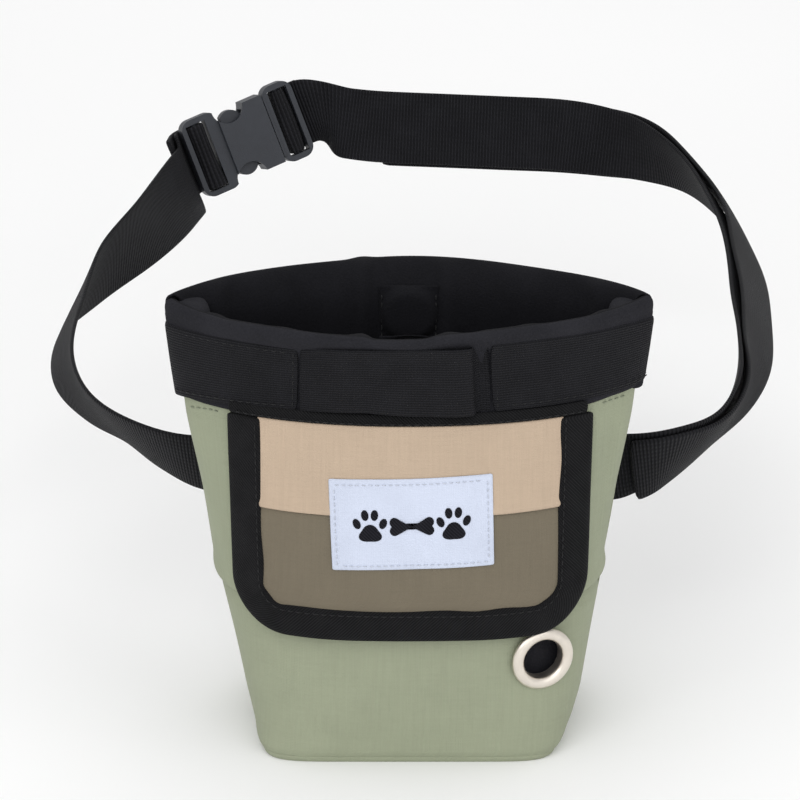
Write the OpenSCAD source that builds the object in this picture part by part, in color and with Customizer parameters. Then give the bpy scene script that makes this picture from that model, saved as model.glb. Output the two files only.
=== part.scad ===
// Dog treat pouch with waist belt, in millimetres.
// Origin: centre of the rear face of the belt tunnel. +X right, +Y towards the wearer, +Z up.

/* [Pouch] */
// Height from the base to the rim of the mouth
pouch_h = 146; // [142:1:150]
// Width of the mouth between its side corners
mouth_w = 149; // [145:1:154]
// Depth of the open mouth, front lip to back lip
mouth_d = 60; // [56:1:66]
// Width of the boxed base
base_w = 97; // [92:1:102]
// Depth of the boxed base
base_d = 70; // [66:1:74]
// Height of the belt above the base
belt_h = 74; // [72:1:78]

/* [Collar and band] */
// Width of the webbing band
band_w = 25.4; // [25:0.1:26]
// Height of the band's lower edge above the base
band_h = 116; // [114:0.5:117]
// How far the middle of the accessory loop stands off
loop_bulge = 2.6; // [1.5:0.1:3.5]

/* [Waste bag pocket] */
// Height of the pocket's mouth above the base
pocket_h = 52; // [50:1:54]
// Depth of the pocket at its middle
pocket_d = 6; // [5.5:0.1:6.5]
// Sideways place of the eyelet
eyelet_x = 42; // [38:0.5:43]
// Height of the eyelet above the base
eyelet_h = 35; // [32:0.5:36]
// Radius of the eyelet's hole
eyelet_r = 6.5; // [6:0.1:6.8]
// Outer radius of the eyelet's flange
eyelet_flange_r = 10.4; // [10:0.1:10.6]

/* [Flap] */
// Width of the flap
flap_w = 113; // [108:1:114]
// Height of the flap's lower edge above the base
flap_low = 45; // [44.5:0.5:46]
// Width of the black binding
binding_w = 10.3; // [9:0.1:11]
// Height of the seam between the two flap panels
flap_seam_h = 86; // [82:1:90]
// Radius of the flap's lower corners
flap_corner_r = 17; // [14:0.5:20]
// Width of the woven label
label_w = 51; // [44:1:54]
// Height of the woven label
label_h = 29; // [24:1:31]

/* [Belt] */
// Width of the belt webbing
belt_w = 25.4; // [25:0.1:26]
// Thickness of the belt webbing
belt_t = 1.4; // [1.2:0.1:1.5]
// Width of the webbing where the buckle gathers it
gathered_w = 23.5; // [22:0.5:24]

/* [Buckle] */
// Length of the closed buckle
buckle_len = 43.5; // [43:0.5:45]
// Width across each end of the buckle
buckle_w = 28.5; // [27.5:0.5:30]
// Thickness of the socket
buckle_t = 7.4; // [7:0.1:8]

/* [Hidden] */

// Where the pouch's base and its middle plane lie in the part's frame
base_z = -belt_h;
mid_y = -37;

// Thickness of each cloth layer and the air left between two layers
panel_t = 1.2;
liner_t = 0.8;
webbing_t = 1.6;
air = 0.2;

// Steps in the panels: around the wall and up the wall
around = 24;
fine_step = 180 / around;

black = [0.13, 0.13, 0.15];
green = [0.62, 0.64, 0.54];
beige = [0.77, 0.69, 0.58];
olive = [0.45, 0.41, 0.34];
buckle_grey = [0.25, 0.26, 0.28];

// ---- Helpers ----------------------------------------------------------------

function unit(v) = v / norm(v);
function mix(a, b, t) = a + (b - a) * t;
function last(list) = list[len(list) - 1];

// A closed solid through a list of rings with the same number of points. Each end is closed by
// one flat face, or for a thin sheet by triangles between its two long sides. In an even strip
// the triangles of both wide faces run the same way, so a twist leaves its thickness as it is.
module loft(rings, sheet = true, even = false) {
    n = len(rings[0]);
    m = len(rings);
    points = [for (ring = rings) for (p = ring) p];
    sides = [for (j = [0:m - 2]) for (i = [0:n - 1]) for (half = [0, 1])
        let (k = (i + 1) % n, turned = even && i >= n / 2)
        half == 0
            ? [j * n + i, j * n + k, (j + 1) * n + (turned ? i : k)]
            : [j * n + (turned ? k : i), (j + 1) * n + k, (j + 1) * n + i]];
    cap = sheet
        ? [for (i = [0:n / 2 - 2]) for (half = [0, 1])
            half == 0 ? [i, i + 1, n - 2 - i] : [i, n - 2 - i, n - 1 - i]]
        : [[for (i = [0:n - 1]) i]];
    first_cap = [for (face = cap) [for (i = [len(face) - 1:-1:0]) face[i]]];
    last_cap = [for (face = cap) [for (i = face) (m - 1) * n + i]];
    polyhedron(points, concat(first_cap, sides, last_cap), convexity = 6);
}

// ---- Shape of the bag -------------------------------------------------------

// Half width, half depth and the fullness of the plan shape at a height above the base
function half_w(h) = lookup(h / pouch_h, [
    [0, base_w / 2], [0.12, base_w / 2 + 5.7], [0.32, base_w / 2 + 11.7],
    [0.375, base_w / 2 + 12.9], [0.55, mouth_w / 2 - 9.2], [0.73, mouth_w / 2 - 4.8],
    [0.79, mouth_w / 2 - 3.5], [1, mouth_w / 2]]);
function half_d(h) = lookup(h / pouch_h, [
    [0, base_d / 2], [0.3, base_d / 2], [0.55, base_d / 2 - 3],
    [0.79, mouth_d / 2 - 7], [0.95, mouth_d / 2 - 5.5], [1, mouth_d / 2]]);
function side_power(h) = lookup(h / pouch_h, [[0, 0.34], [0.3, 0.72], [1, 1]]);
function depth_power(h) = lookup(h / pouch_h, [[0, 0.34], [0.3, 0.8], [0.53, 1], [1, 1.7]]);

// The bag hangs a little to one side towards its base
function slump(h) = lookup(h, [[0, 1], [17, 1.4], [47, 0.8], [60, 0.2], [146, 0]]);

// How far the wall behind the waste bag pocket sits back from the outer shape
function recess(h) = lookup(h, [[0, pocket_d], [64, pocket_d], [98, 0]]);

// A point of the wall: side is -1 at the front and 1 at the back, a runs 0 to 180 degrees
function wall(side, a, h, off, back_off = 0) =
    let (w = half_w(h) + off, d = half_d(h) + off - back_off)
    [slump(h) + w * sign(cos(a)) * pow(abs(cos(a)), side_power(h)),
     mid_y + side * (0.1 + d * pow(max(0, sin(a)), depth_power(h))),
     base_z + h];

// The same wall at a sideways place x
function angle_at(x, h, off) =
    let (across = x - slump(h))
    acos(sign(across) * pow(abs(across) / (half_w(h) + off), 1 / side_power(h)));
function wall_at(side, x, h, off) =
    let (p = wall(side, angle_at(x, h, off), h, off)) [x, p[1], p[2]];

// A curved sheet between two angles and two offsets at each height of a list
function sheet_ring(side, a0, a1, h, inner, outer, back_off = 0, step = fine_step) =
    let (n = max(2, ceil((a1 - a0) / step)))
    concat(
        [for (i = [0:n]) wall(side, mix(a0, a1, i / n), h, outer, back_off)],
        [for (i = [n:-1:0]) wall(side, mix(a0, a1, i / n), h, inner, back_off)]);
function ordered(side, ring) = side < 0 ? ring : [for (i = [len(ring) - 1:-1:0]) ring[i]];

// A flat-topped strip on the front wall between two sideways places
function strip_ring(x0, x1, h, inner, outer, n) = concat(
    [for (i = [0:n]) wall_at(-1, mix(x1, x0, i / n), h, outer)],
    [for (i = [n:-1:0]) wall_at(-1, mix(x1, x0, i / n), h, inner)]);

// ---- Bag --------------------------------------------------------------------

// Height of the neck, where the wall starts to flare out to the rim
neck_h = 0.95 * pouch_h;

// Heights at which the walls change shape
low_heights = [6, 17.5, 30, 43.8];
high_heights = [57, 64, 72, 80.3, 89, 98, 106.6, 115.3, 124, 132, neck_h];

// The front wall is set back behind the pocket
function front_set(h) = lookup(h, [[pocket_h, -1.6], [57, 0]]);

module front_panel() {
    color(green)
        loft([for (h = concat([0], low_heights, [pocket_h], high_heights, [144]))
            sheet_ring(-1, 0, 180, h, front_set(h) - panel_t, front_set(h), recess(h))]);
}

module back_panel() {
    color(green)
        loft([for (h = concat([0], low_heights, [pocket_h], high_heights, [144]))
            ordered(1, sheet_ring(1, 0, 180, h, -panel_t, 0))]);
}

module base_panel() {
    gap = panel_t + air;
    edge = concat(
        [for (a = [0:fine_step:180]) wall(-1, a, 0, -gap - 1.6, pocket_d)],
        [for (a = [180:-fine_step:0]) wall(1, a, 0, -gap - 1.6)]);
    color(green)
        translate([0, 0, base_z])
            linear_extrude(panel_t)
                polygon([for (p = edge) [p[0], p[1]]]);
}

// The liner is a cup: a ring around the whole bag at a height and an offset
function liner_ring(h, off) = concat(
    [for (i = [0:around - 1]) wall(-1, i * fine_step, h, off - liner_shift(h), recess(h))],
    [for (i = [0:around - 1]) wall(1, 180 - i * fine_step, h, off - liner_shift(h))]);
function liner_shift(h) = lookup(h, [[52, 1.6], [57, 0]]);

module inner_liner() {
    outer = -panel_t - air;
    heights = concat([2], low_heights, [pocket_h], high_heights, [143]);
    count = len(heights);
    rings = concat(
        [for (h = heights) liner_ring(h, outer)],
        [for (i = [count - 1:-1:0]) liner_ring(heights[i] + (i == 0 ? liner_t : 0), outer - liner_t)]);
    color(black) loft(rings, sheet = false);
}

// ---- Collar and band --------------------------------------------------------

// Section of the collar, folded over the rim: [offset, height]
collar_t = 1.4;
collar_low = band_h - 2;
collar_inner_low = pouch_h - 30;
band_rows = [band_h, band_h + 12, neck_h, band_h + band_w];
function collar_section() = concat(
    [[air, collar_low], [collar_t, collar_low]], [for (h = band_rows) [collar_t, h]],
    [[collar_t, pouch_h - 1], [0.4, pouch_h], [-2.6, pouch_h], [-3.8, pouch_h - 1],
     [-3.8, neck_h], [-3.8, band_h + 12], [-3.8, collar_inner_low],
     [-2.6, collar_inner_low], [-2.6, band_h + 12], [-2.6, neck_h], [-2.6, pouch_h - 1.6],
     [air, pouch_h - 1.6], [air, neck_h], [air, band_h + 12]]);

module collar(side) {
    rings = [for (a = [0:fine_step:180])
        [for (q = collar_section()) wall(side, a, q[1], q[0])]];
    color(black) loft([for (ring = rings) ordered(-side, ring)], sheet = false);
}

module collar_front() {
    collar(-1);
}

module collar_back() {
    collar(1);
}

band_inner = collar_t + air;
loop_from = 71.5;
loop_to = 116;

module band_right() {
    color(black)
        loft([for (h = band_rows)
            sheet_ring(-1, 0, loop_from - 0.4, h, band_inner, band_inner + webbing_t)]);
}

module band_left() {
    color(black)
        loft([for (h = band_rows)
            sheet_ring(-1, loop_to + 0.4, 180, h, band_inner, band_inner + webbing_t)]);
}

module band_back() {
    color(black)
        loft([for (h = band_rows)
            ordered(1, sheet_ring(1, 0, 180, h, band_inner, band_inner + webbing_t))]);
}

// The loop is the middle of the band, sewn at both ends and standing off between them
module accessory_loop() {
    steps = 12;
    rings = [for (i = [0:steps])
        let (a = mix(loop_from, loop_to, i / steps),
             bulge = loop_bulge * pow(sin(180 * i / steps), 0.7),
             low = band_inner + bulge,
             high = low + webbing_t)
        concat([for (h = band_rows) wall(-1, a, h, high)],
               [for (j = [len(band_rows) - 1:-1:0]) wall(-1, a, band_rows[j], low)])];
    color(black) loft([for (ring = rings) ordered(1, ring)]);
}

// ---- Waste bag pocket -------------------------------------------------------

// The eyelet's axis is the wall's own normal where it sits
eyelet_p = wall_at(-1, eyelet_x, eyelet_h, 0);
eyelet_across = wall_at(-1, eyelet_x + 3, eyelet_h, 0) - wall_at(-1, eyelet_x - 3, eyelet_h, 0);
eyelet_yaw = atan2(eyelet_across[1], eyelet_across[0]);

module on_eyelet() {
    translate(eyelet_p) rotate([90, 0, eyelet_yaw]) children();
}

module pocket_panel() {
    color(green)
        difference() {
            loft([for (h = concat([2], low_heights, [pocket_h]))
                sheet_ring(-1, 0, 180, h, -panel_t, 0)]);
            on_eyelet() cylinder(r = eyelet_r + 0.9, h = 12, center = true, $fn = 32);
        }
}

module pocket_liner() {
    color(black)
        loft([for (h = concat([4], low_heights, [pocket_h - 2]))
            sheet_ring(-1, 22.5, 157.5, h, -1.4, -0.8, pocket_d)]);
}

module eyelet() {
    color("silver")
        on_eyelet()
            rotate_extrude($fn = 64)
                difference() {
                    union() {
                        translate([eyelet_r, -3]) square([0.7, 3.6]);
                        translate([eyelet_r, 0.4]) square([eyelet_flange_r - eyelet_r, 0.5]);
                        translate([(eyelet_r + eyelet_flange_r) / 2, 0.6])
                            scale([1, 0.75]) circle(r = (eyelet_flange_r - eyelet_r) / 2, $fn = 40);
                    }
                    translate([0, -6.6]) square([eyelet_flange_r + 1, 3.6]);
                    translate([eyelet_r + 0.7, -3]) square([eyelet_flange_r, 3.4]);
                }
}

module eyelet_washer() {
    color("silver")
        on_eyelet()
            translate([0, 0, -2.9])
                difference() {
                    cylinder(r = 8.4, h = 0.7, $fn = 48);
                    translate([0, 0, -1]) cylinder(r = eyelet_r + 0.8, h = 3, $fn = 48);
                }
}

// Hook and loop strips hold the flap's lower edge to the pocket
patch_w = 32;
patch_low = 46;
patch_top = 51.5;

module loop_patch() {
    color(black)
        loft([for (h = [patch_low, patch_top])
            strip_ring(-patch_w / 2, patch_w / 2, h, 0.15, 0.95, 8)]);
}

module hook_patch() {
    color(black)
        loft([for (h = [patch_low + 0.5, patch_top - 0.5])
            strip_ring(-patch_w / 2 + 1, patch_w / 2 - 1, h, 1.25, 2.05, 8)]);
}

// ---- Magnets in the lips ----------------------------------------------------

magnet_r = 7.5;
magnet_t = 2;
magnet_h = pouch_h - 14;
cover_w = 19;
cover_t = 3.2;
cover_y = 19.2;

module magnet(side) {
    color("dimgray")
        translate([0, mid_y + side * (cover_y - magnet_t / 2 - 0.2), base_z + magnet_h])
            rotate([90, 0, 0])
                cylinder(r = magnet_r, h = magnet_t, center = true, $fn = 48);
}

module magnet_cover(side) {
    color(black)
        translate([0, mid_y + side * cover_y, base_z + magnet_h])
            rotate([side * 90, 0, 0])
                difference() {
                    linear_extrude(cover_t)
                        square([cover_w, cover_w], center = true);
                    translate([0, 0, -1])
                        cylinder(r = magnet_r + 0.3, h = magnet_t + 1.4, $fn = 48);
                }
}

module magnet_front() {
    magnet(-1);
}

module magnet_back() {
    magnet(1);
}

module magnet_cover_front() {
    magnet_cover(-1);
}

module magnet_cover_back() {
    magnet_cover(1);
}

// ---- Flap -------------------------------------------------------------------

flap_top = band_h - 1.6;
flap_back = 2.2;
flap_front = 4.2;
panel_half = flap_w / 2 - binding_w - 0.15;
inner_low = flap_low + binding_w + 0.15;
label_low = 84 - label_h / 2;
label_top = 84 + label_h / 2;

// A flap panel between two heights; its lower corners are cut round by inner_r
inner_r = flap_corner_r - binding_w - 0.15;
function panel_half_at(h) =
    let (drop = max(0, inner_low + inner_r - h))
    panel_half - inner_r + sqrt(max(0, inner_r * inner_r - drop * drop));

module flap_sheet(rows, inner, outer) {
    loft([for (h = rows) strip_ring(-panel_half_at(h), panel_half_at(h), h, inner, outer, 12)]);
}

low_rows = [for (t = [0, 0.1, 0.3, 0.6, 1]) inner_low + t * inner_r];

module flap_top_panel() {
    color(beige)
        flap_sheet([flap_seam_h + 0.1, 92, label_top, 106.6, flap_top], 3.1, 3.9);
}

module flap_lower_panel() {
    color(olive)
        flap_sheet(concat(low_rows, [66, label_low, 75, 80.3, flap_seam_h - 0.1]), 3.1, 3.9);
}

module flap_lining() {
    color(black)
        flap_sheet(concat(low_rows, [66, 72, 80.3, 89, 98, 106.6, flap_top]), 2.3, 2.9);
}

// The binding follows a U: down one side, round both lower corners, up the other side
binding_side = [for (i = [0:6]) mix(flap_top, flap_low + flap_corner_r, i / 6)];
function corner_point(a, r) = [
    flap_w / 2 - flap_corner_r + r * cos(a), flap_low + flap_corner_r - r * sin(a)];
corner_inset = max(1.5, flap_corner_r - binding_w);
function binding_half() = concat(
    [for (h = binding_side) [[flap_w / 2, h], [flap_w / 2 - binding_w, h]]],
    [for (a = [15:15:90]) [corner_point(a, flap_corner_r), corner_point(a, corner_inset)]],
    [for (i = [1:5])
        let (x = (flap_w / 2 - flap_corner_r) * (1 - i / 5))
        [[x, flap_low], [x, flap_low + flap_corner_r - corner_inset]]]);
function binding_path() =
    let (half = binding_half(), n = len(half))
    concat(half, [for (i = [n - 2:-1:0]) [for (q = half[i]) [-q[0], q[1]]]]);
function binding_ring(pair) = [
    wall_at(-1, pair[0][0], pair[0][1], flap_front), wall_at(-1, pair[1][0], pair[1][1], flap_front),
    wall_at(-1, pair[1][0], pair[1][1], flap_back), wall_at(-1, pair[0][0], pair[0][1], flap_back)];

module flap_binding() {
    color(black) loft([for (pair = binding_path()) binding_ring(pair)]);
}

module label() {
    color("lavender")
        loft([for (h = [label_low, 75, 80.3, flap_seam_h - 0.1, 92, label_top])
            strip_ring(-label_w / 2, label_w / 2, h, 4.05, 4.55, 8)]);
}

// ---- Belt -------------------------------------------------------------------

// Route of the belt's centre line: [x, y, z, outward lean in degrees, width]
left_route = [
    [59, -7, 0, 0, belt_w], [44, -4, 0, 0, belt_w], [26, -3, 0, 0, belt_w],
    [0, -3, 0, 0, belt_w], [-26, -3, 0, 0, belt_w], [-48, -4, 0, 8, belt_w],
    [-67, -4, -1, 22, belt_w], [-83, 4, 1, 34, belt_w], [-97, 18, 4, 36, belt_w],
    [-108, 38, 6, 10, belt_w], [-114, 62, 9, -18, belt_w], [-112, 92, 12, -26, belt_w],
    [-104, 118, 14, -8, belt_w], [-91, 145, 16, 10, belt_w], [-83, 168, 16, 18, belt_w],
    [-78, 188, 15, 22, belt_w], [-76, 202, 13, 24, 25], [-75, 210, 13, 20, 24],
    [-70, 214, 15, 20, 22]];
right_route = [
    [61, -8, 0, 4, belt_w], [71, -9, 1, 14, belt_w], [83, -5, 3, 26, belt_w],
    [95, 7, 4, 34, belt_w], [104, 26, 6, 22, belt_w], [110, 53, 7, -6, belt_w],
    [114, 82, 8, -24, belt_w], [114, 117, 10, -28, belt_w], [112, 152, 12, -30, belt_w],
    [105, 184, 14, -32, belt_w], [95, 206, 16, -26, belt_w], [82, 219, 17, -8, belt_w],
    [68, 225, 18, 8, belt_w], [53, 228, 19, 18, belt_w], [34, 228, 20, 20, belt_w],
    [12, 228, 21, 20, belt_w], [-10, 228, 22, 20, belt_w], [-24, 229, 23, 20, belt_w],
    [-34, 229, 24, 20, 24], [-40, 228, 25, 20, 22]];
// The loose end lies outside the right stretch, a little lower
tail_gap = 2.6;
tail_drop = 1;
tail_first = 1;
tail_skip = 3;

// A point on a smooth curve through the route between its points i and i + 1
function at(route, i) = route[max(0, min(len(route) - 1, i))];
function smooth(route, i, t) =
    let (p0 = at(route, i - 1), p1 = at(route, i), p2 = at(route, i + 1), p3 = at(route, i + 2))
    0.5 * (2 * p1 + (p2 - p0) * t + (2 * p0 - 5 * p1 + 4 * p2 - p3) * t * t
        + (3 * p1 - p0 - 3 * p2 + p3) * t * t * t);
function smooth_route(route, parts) = concat(
    [for (i = [0:len(route) - 2]) for (k = [0:parts - 1]) smooth(route, i, k / parts)],
    [last(route)]);
function place(q) = [q[0], q[1], q[2]];

// Axes of the webbing at a point: across its width, and out of the ring through its face.
// The sense is 1 where the route runs clockwise seen from above, and -1 where it doesn't.
function web_axes(route, i, sense) =
    let (t = unit(place(at(route, i + 1)) - place(at(route, i - 1))),
         up = unit([0, 0, 1] - t[2] * t),
         out = sense * cross(up, t),
         lean = at(route, i)[3])
    [up * cos(lean) + out * sin(lean), out * cos(lean) - up * sin(lean)];

route_parts = 4;
module webbing(route, sense, first = 0, skip = 0, stand_off = 0, drop = 0) {
    fine = smooth_route(route, route_parts);
    loft([for (i = [first * route_parts:len(fine) - 1 - skip * route_parts])
        let (axes = web_axes(fine, i, sense),
             c = place(fine[i]) + axes[1] * stand_off - axes[0] * drop,
             w = axes[0] * fine[i][4] / 2,
             t = sense * axes[1] * belt_t / 2)
        [c + w + t, c + w - t, c - w - t, c - w + t]], even = true);
}

module belt_left() {
    color(black) webbing(left_route, 1);
}

module belt_right() {
    color(black) webbing(right_route, -1);
}

module belt_tail() {
    color(black) webbing(right_route, -1, tail_first, tail_skip, tail_gap, tail_drop);
}

// The tunnel is sewn above and below the belt and open at both sides
tunnel_w = 52;
tunnel_h = 38;
tunnel_room = 4.2;

module belt_tunnel() {
    color(black)
        translate([0, -tunnel_room / 2, 0])
            difference() {
                cube([tunnel_w, tunnel_room, tunnel_h], center = true);
                translate([0, -1.4, 0])
                    cube([tunnel_w + 2, tunnel_room, belt_w + 1.6], center = true);
            }
}

// ---- Buckle -----------------------------------------------------------------

// Own frame of the buckle: +X out of the socket towards the plug, +Z across the webbing
buckle_p = [-57, 217, 22];
buckle_turn = [-20, -14, 26];
half_len = buckle_len / 2;
mouth_x = 9.6;
cavity_t = 4.8;
cavity_half = 10.4;
slot_half = 12.2;
bar_x = 16.2;
bar_r = 1.5;
window_w = 7.4;
end_t = 4.6;

module on_buckle() {
    translate(buckle_p) rotate(buckle_turn) children();
}

// A plate in the buckle's own X-Z plane, centred on its thickness
module plate(t) {
    rotate([90, 0, 0]) linear_extrude(t, center = true) children();
}

// Outline of one end with rounded corners, from x0 to x1
module end_outline(x0, x1, r = 4) {
    for (x = [x0 + r, x1 - r], z = [-buckle_w / 2 + r, buckle_w / 2 - r])
        translate([x, z]) circle(r = r, $fn = 32);
    translate([x0 + r, -buckle_w / 2]) square([x1 - x0 - 2 * r, buckle_w]);
    translate([x0, -buckle_w / 2 + r]) square([x1 - x0, buckle_w - 2 * r]);
}

// The window that the webbing is wrapped in, with a bar left across its middle
module strap_window(side) {
    translate([side * bar_x, 0, 0])
        cube([window_w, 20, 2 * slot_half], center = true);
}

module strap_bar(side) {
    translate([side * bar_x, 0.6, 0])
        cylinder(r = bar_r, h = 2 * slot_half + 1, center = true, $fn = 32);
}

module buckle_socket() {
    color(buckle_grey)
        on_buckle() {
            difference() {
                union() {
                    plate(end_t) end_outline(-half_len, -7.5);
                    plate(buckle_t)
                        translate([-8.2, -12.75]) square([mouth_x + 8.2, 25.5]);
                }
                strap_window(-1);
                translate([mouth_x - 8.2, 0, 0])
                    cube([16.8, cavity_t, 2 * cavity_half], center = true);
                for (side = [-1, 1])
                    translate([-3.4, 0, side * 13.2])
                        rotate([90, 0, 0]) cylinder(r = 5.6, h = 20, center = true, $fn = 48);
            }
            strap_bar(-1);
        }
}

module buckle_plug() {
    color(buckle_grey)
        on_buckle() {
            difference() {
                union() {
                    plate(end_t) end_outline(mouth_x + 0.5, half_len);
                    plate(5.6)
                        translate([mouth_x + 0.5, -11]) square([0.9, 22]);
                }
                strap_window(1);
            }
            strap_bar(1);
            translate([mouth_x - 5.4, 0, 0]) cube([12.2, 3, 3.4], center = true);
        }
}

// A springy arm from the plug's root into the socket, with the shoulder that catches
module prong(side) {
    root = [mouth_x + 0.2, 6.6];
    color(buckle_grey)
        on_buckle()
            plate(3) {
                translate([-1.4, side > 0 ? root[1] : -root[1] - 2.4])
                    square([root[0] + 1.4, 2.4]);
                intersection() {
                    translate([-3.4, side * 7.6]) circle(r = 4.4, $fn = 48);
                    translate([-6.8, side > 0 ? 4.4 : -12.2]) square([8, 7.8]);
                }
            }
}

module prong_upper() {
    prong(1);
}

module prong_lower() {
    prong(-1);
}

// Webbing folded round a bar, with its end lying against the strap
module wrap(side) {
    outer = bar_r + 0.2 + belt_t;
    color(black)
        on_buckle()
            translate([side * bar_x, 0.6, 0]) {
                difference() {
                    cylinder(r = outer, h = gathered_w, center = true, $fn = 48);
                    cylinder(r = bar_r + 0.2, h = gathered_w + 2, center = true, $fn = 48);
                }
            }
}

module socket_wrap() {
    wrap(-1);
}

module plug_wrap() {
    wrap(1);
}

// ---- Show -------------------------------------------------------------------

front_panel();
back_panel();
base_panel();
inner_liner();
collar_front();
collar_back();
band_left();
band_right();
band_back();
accessory_loop();
pocket_panel();
pocket_liner();
eyelet();
eyelet_washer();
loop_patch();
magnet_front();
magnet_back();
magnet_cover_front();
magnet_cover_back();
flap_top_panel();
flap_lower_panel();
flap_lining();
flap_binding();
label();
hook_patch();
belt_tunnel();
belt_left();
belt_right();
belt_tail();
buckle_socket();
socket_wrap();
buckle_plug();
plug_wrap();
prong_upper();
prong_lower();
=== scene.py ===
"""Dog treat pouch with waist belt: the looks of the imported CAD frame, in metres."""

from math import acos, copysign, cos, degrees, dist, hypot, pi, radians, sin, sqrt

import bpy
import numpy as np
from mathutils import Matrix, Vector


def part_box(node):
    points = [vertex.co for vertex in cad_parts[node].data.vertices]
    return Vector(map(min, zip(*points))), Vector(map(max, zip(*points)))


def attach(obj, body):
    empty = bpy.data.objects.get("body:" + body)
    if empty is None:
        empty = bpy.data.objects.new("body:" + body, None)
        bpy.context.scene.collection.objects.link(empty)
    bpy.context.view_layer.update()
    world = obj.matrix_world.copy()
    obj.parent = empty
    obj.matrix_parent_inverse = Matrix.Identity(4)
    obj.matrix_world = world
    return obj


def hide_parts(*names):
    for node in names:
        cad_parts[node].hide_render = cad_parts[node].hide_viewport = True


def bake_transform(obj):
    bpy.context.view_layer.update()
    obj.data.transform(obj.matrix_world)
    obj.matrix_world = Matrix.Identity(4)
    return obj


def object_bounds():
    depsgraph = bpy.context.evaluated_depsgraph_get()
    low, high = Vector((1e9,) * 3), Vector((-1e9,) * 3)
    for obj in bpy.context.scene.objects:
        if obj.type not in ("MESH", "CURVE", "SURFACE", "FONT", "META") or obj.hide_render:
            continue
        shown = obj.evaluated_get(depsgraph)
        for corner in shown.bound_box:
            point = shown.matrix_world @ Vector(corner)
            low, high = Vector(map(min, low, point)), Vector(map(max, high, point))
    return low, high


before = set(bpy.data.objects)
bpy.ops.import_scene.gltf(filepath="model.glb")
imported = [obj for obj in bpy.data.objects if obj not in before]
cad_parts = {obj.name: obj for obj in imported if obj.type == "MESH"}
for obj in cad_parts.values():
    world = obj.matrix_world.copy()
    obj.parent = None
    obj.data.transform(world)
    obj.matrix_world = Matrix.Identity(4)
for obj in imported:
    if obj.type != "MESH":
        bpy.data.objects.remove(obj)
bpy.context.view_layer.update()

# ---- Sizes, as in the CAD model ----

POUCH_H = 0.146
BASE_Z = -0.074
MID_Y = -0.037
BAND_W = 0.0254
BAND_H = 0.116
FLAP_W = 0.113
FLAP_LOW = 0.045
FLAP_TOP = 0.1144
BINDING_W = 0.0103
SEAM_H = 0.086
CORNER_R = 0.017
EYELET_X = 0.042
EYELET_H = 0.035
BUCKLE_P = Vector((-0.057, 0.217, 0.022))
BUCKLE_TURN = (-20, -14, 26)


# ---- Camera and light ----

def new_object(name, data):
    made = bpy.data.objects.new(name, data)
    bpy.context.collection.objects.link(made)
    return made


def turned_to(way):
    return way.to_track_quat("-Z", "Y").to_euler()


def add_camera():
    """A long lens in front of the pouch, looking down at it."""
    tilt = radians(24.5)
    distance = 2.0
    below_rim = 0.0322
    rim = Vector((-0.0028, MID_Y, BASE_Z + POUCH_H))
    up = Vector((0, sin(tilt), cos(tilt)))
    forward = Vector((0, cos(tilt), -sin(tilt)))
    data = bpy.data.cameras.new("camera")
    data.sensor_width = 36
    data.lens = 288
    camera = new_object("camera", data)
    camera.location = rim - up * below_rim - forward * distance
    camera.rotation_euler = turned_to(forward)
    bpy.context.scene.camera = camera


def add_light(name, place, target, size, power):
    data = bpy.data.lights.new(name, "AREA")
    data.shape = "SQUARE"
    data.size = size
    data.energy = power
    light = new_object(name, data)
    light.location = place
    light.rotation_euler = turned_to(Vector(target) - Vector(place))


def add_studio():
    """A wide pale floor, and soft light from three sides."""
    floor_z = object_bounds()[0][2]
    verts = [(x, y, floor_z) for x, y in ((-8, -8), (8, -8), (8, 8), (-8, 8))]
    mesh = bpy.data.meshes.new("floor")
    mesh.from_pydata(verts, [], [(0, 1, 2, 3)])
    mesh.materials.append(MATERIALS["floor_paper"])
    floor = new_object("floor", mesh)
    add_light("key", (-0.6, -1.5, 1.3), (0, 0, 0), 1.5, 12)
    add_light("fill", (0.8, -1.6, 0.8), (0, 0, 0), 1.5, 6)
    add_light("top", (0.1, 0.5, 1.8), (0, 0.05, 0), 1.8, 7)
    world = bpy.data.worlds.new("world")
    world.use_nodes = True
    color, strength = world.node_tree.nodes["Background"].inputs[:2]
    color.default_value = (1, 1, 1, 1)
    strength.default_value = 0.74
    bpy.context.scene.world = world
    bpy.context.scene.view_settings.view_transform = "Standard"


# ---- Materials ----

def shader_input(tree, name):
    return tree.nodes["Principled BSDF"].inputs[name]


def surface(tree, roughness, specular=0.5, sheen=0.0):
    shader_input(tree, "Roughness").default_value = roughness
    shader_input(tree, "Specular IOR Level").default_value = specular
    shader_input(tree, "Sheen Weight").default_value = sheen


def add(tree, kind, **values):
    """A node with its settings; numbers and vectors for inputs go in by input name."""
    made = tree.nodes.new("ShaderNode" + kind)
    for key, value in values.items():
        if hasattr(made, key):
            setattr(made, key, value)
        else:
            made.inputs[key.replace("_", " ")].default_value = value
    return made


def maths(tree, operation, a, b=None):
    made = add(tree, "Math", operation=operation)
    for socket, value in zip(made.inputs, (a, b)):
        if isinstance(value, (int, float)):
            socket.default_value = value
        elif value is not None:
            tree.links.new(value, socket)
    return made.outputs[0]


def wave(tree, coordinate, pitch):
    """A smooth wave between 0 and 1 along one coordinate."""
    turned = maths(tree, "MULTIPLY", coordinate, 2 * pi / pitch)
    halved = maths(tree, "MULTIPLY", maths(tree, "SINE", turned), 0.5)
    return maths(tree, "ADD", halved, 0.5)


def cloth_uv(tree):
    """Distance across and along the cloth, in metres, from the piece's own UV map."""
    uv = add(tree, "UVMap", uv_map="cloth")
    split = add(tree, "SeparateXYZ")
    tree.links.new(uv.outputs[0], split.inputs[0])
    return split.outputs[0], split.outputs[1]


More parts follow.
